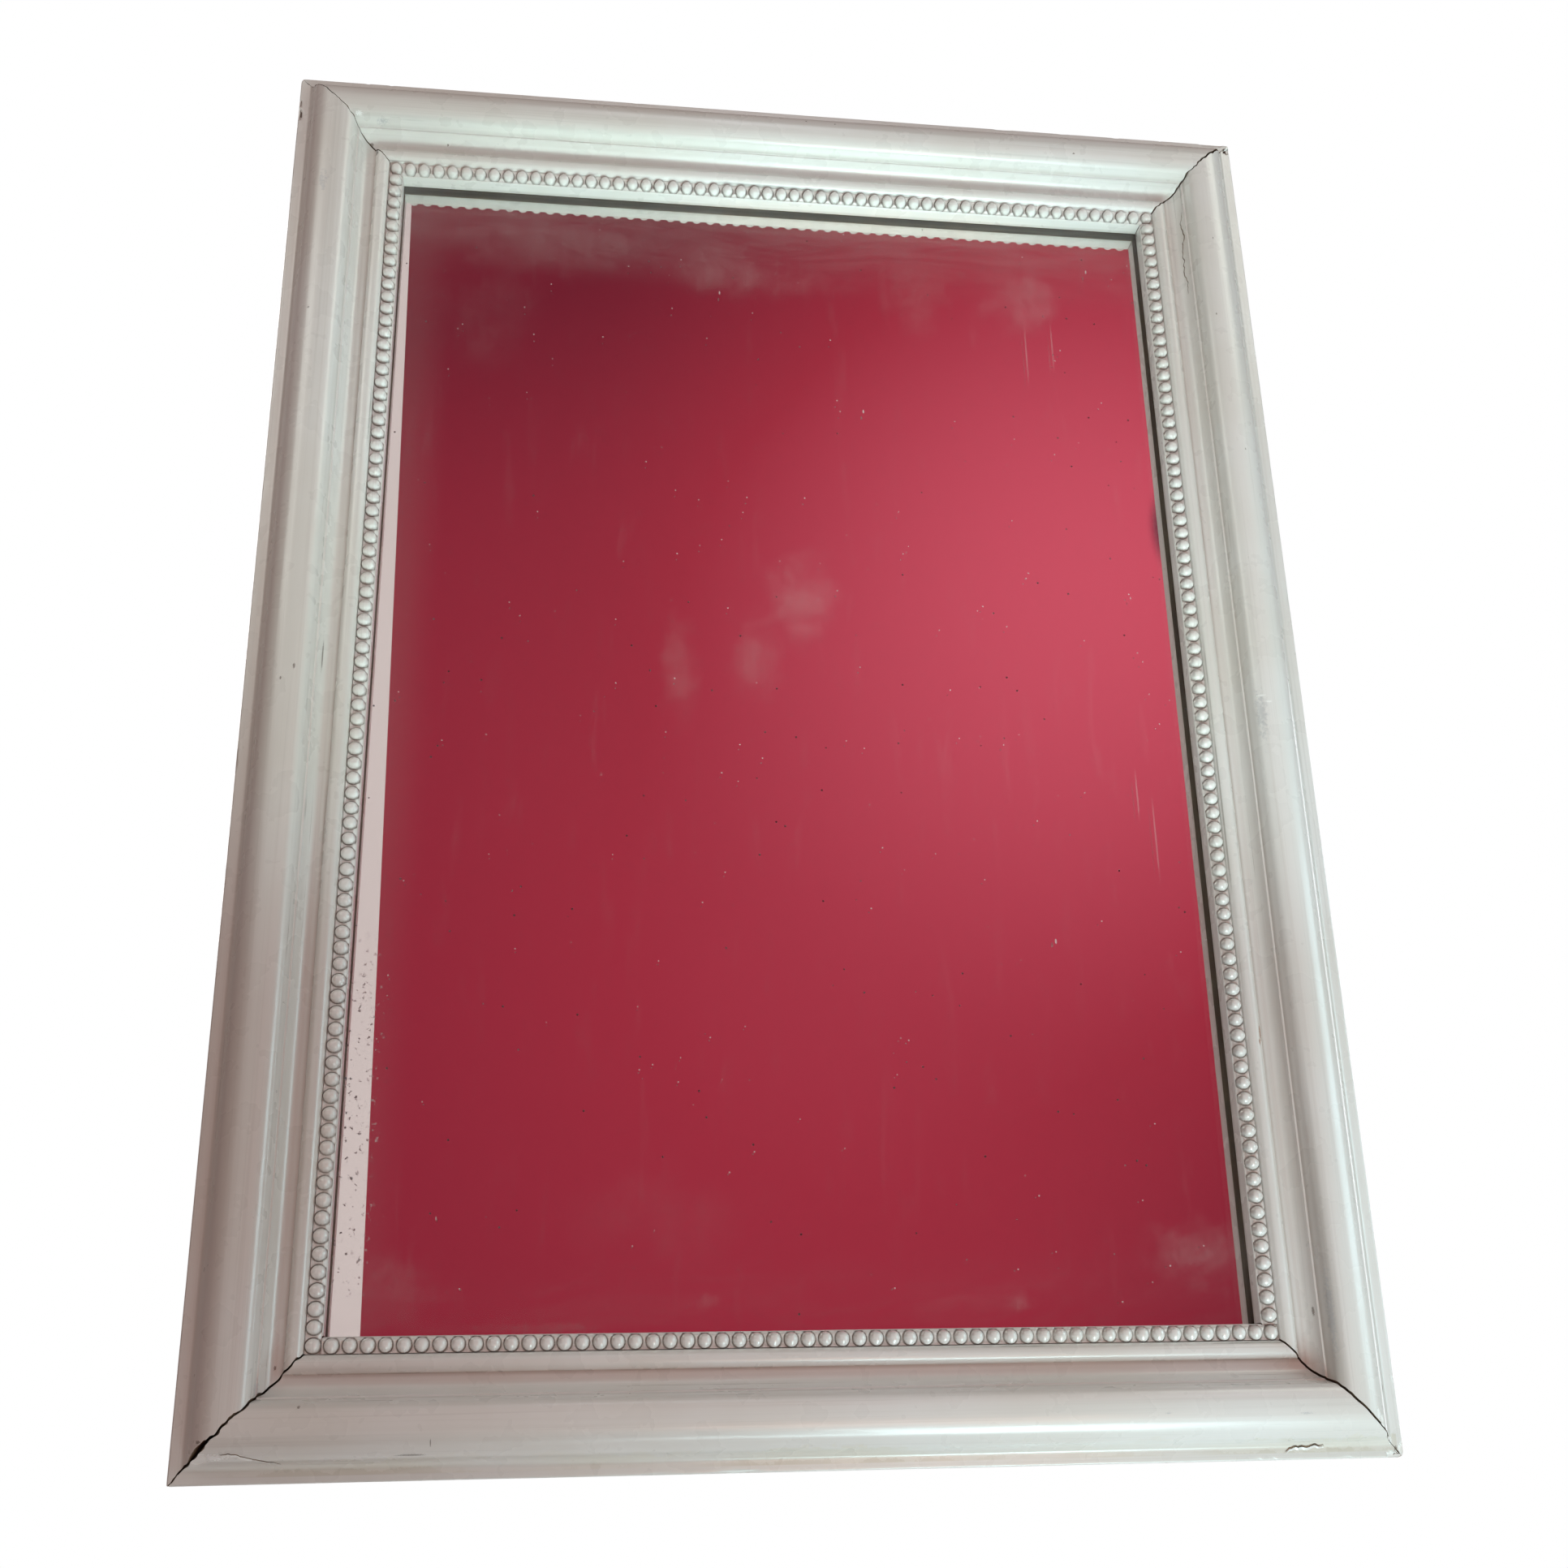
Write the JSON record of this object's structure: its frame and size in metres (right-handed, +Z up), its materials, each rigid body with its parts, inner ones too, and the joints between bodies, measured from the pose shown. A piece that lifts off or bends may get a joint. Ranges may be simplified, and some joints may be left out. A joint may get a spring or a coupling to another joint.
{
  "type": "wall mirror",
  "caption": "Old painted wooden wall mirror: wide mitred ogee moulding with a row of small pearls round thick silvered glass, hung by rings.",
  "frame": {"origin": "Centre of the flat back face of the top rail, on the wall plane.", "axes": "+Z up along the long side, +X to the right seen from the front, -Y out of the mirror's face towards the room, +Y into the wall."},
  "size_m": [0.492, 0.0432, 0.6671],
  "materials": {
    "painted_wood": "old off-white semi-gloss lacquer over wood, yellowed and cracked in places",
    "painted_pearls": "the same off-white lacquer, thick and glossy over small half-round pearls",
    "glass": "clear thick plate glass with a slight green tint, dusty and smudged",
    "silver": "old mirror silvering with small dark spots",
    "bare_wood": "bare aged pine",
    "steel": "dull, slightly rusty steel",
    "brass": "dull brass"
  },
  "bodies": {
    "frame": {"back_board_lower": "bare_wood", "back_board_upper": "bare_wood", "brad_bottom_1": "steel", "brad_bottom_2": "steel", "brad_left_1": "steel", "brad_left_2": "steel", "brad_left_3": "steel", "brad_left_4": "steel", "brad_right_1": "steel", "brad_right_2": "steel", "brad_right_3": "steel", "brad_right_4": "steel", "brad_top_1": "steel", "brad_top_2": "steel", "hanger_screw_left_lower": "steel", "hanger_screw_left_upper": "steel", "hanger_screw_right_lower": "steel", "hanger_screw_right_upper": "steel", "hanger_strap_left": "brass", "hanger_strap_right": "brass", "mirror_glass": "glass", "mirror_silvering": "silver", "mitre_nail_bottom_left_front": "steel", "mitre_nail_bottom_left_rear": "steel", "mitre_nail_bottom_right_front": "steel", "mitre_nail_bottom_right_rear": "steel", "mitre_nail_top_left_front": "steel", "mitre_nail_top_left_rear": "steel", "mitre_nail_top_right_front": "steel", "mitre_nail_top_right_rear": "steel", "packing_slip_bottom_1": "bare_wood", "packing_slip_left_1": "bare_wood", "packing_slip_left_2": "bare_wood", "packing_slip_right_1": "bare_wood", "packing_slip_right_2": "bare_wood", "packing_slip_top_1": "bare_wood", "pearl_strip_bottom": "painted_pearls", "pearl_strip_left": "painted_pearls", "pearl_strip_right": "painted_pearls", "pearl_strip_top": "painted_pearls", "rail_bottom": "painted_wood", "rail_left": "painted_wood", "rail_right": "painted_wood", "rail_top": "painted_wood"},
    "ring_left": {"hanging_ring_left": "brass"},
    "ring_right": {"hanging_ring_right": "brass"}
  },
  "joints": [
    {"name": "ring_left_swing", "type": "hinge", "parent": "frame", "child": "ring_left", "pos_m": [-0.22375, 0.00275, -0.13775], "axis": [1, 0, 0], "range_deg": [0, 175]},
    {"name": "ring_right_swing", "type": "hinge", "parent": "frame", "child": "ring_right", "pos_m": [0.22375, 0.00275, -0.13775], "axis": [1, 0, 0], "range_deg": [0, 175]}
  ]
}
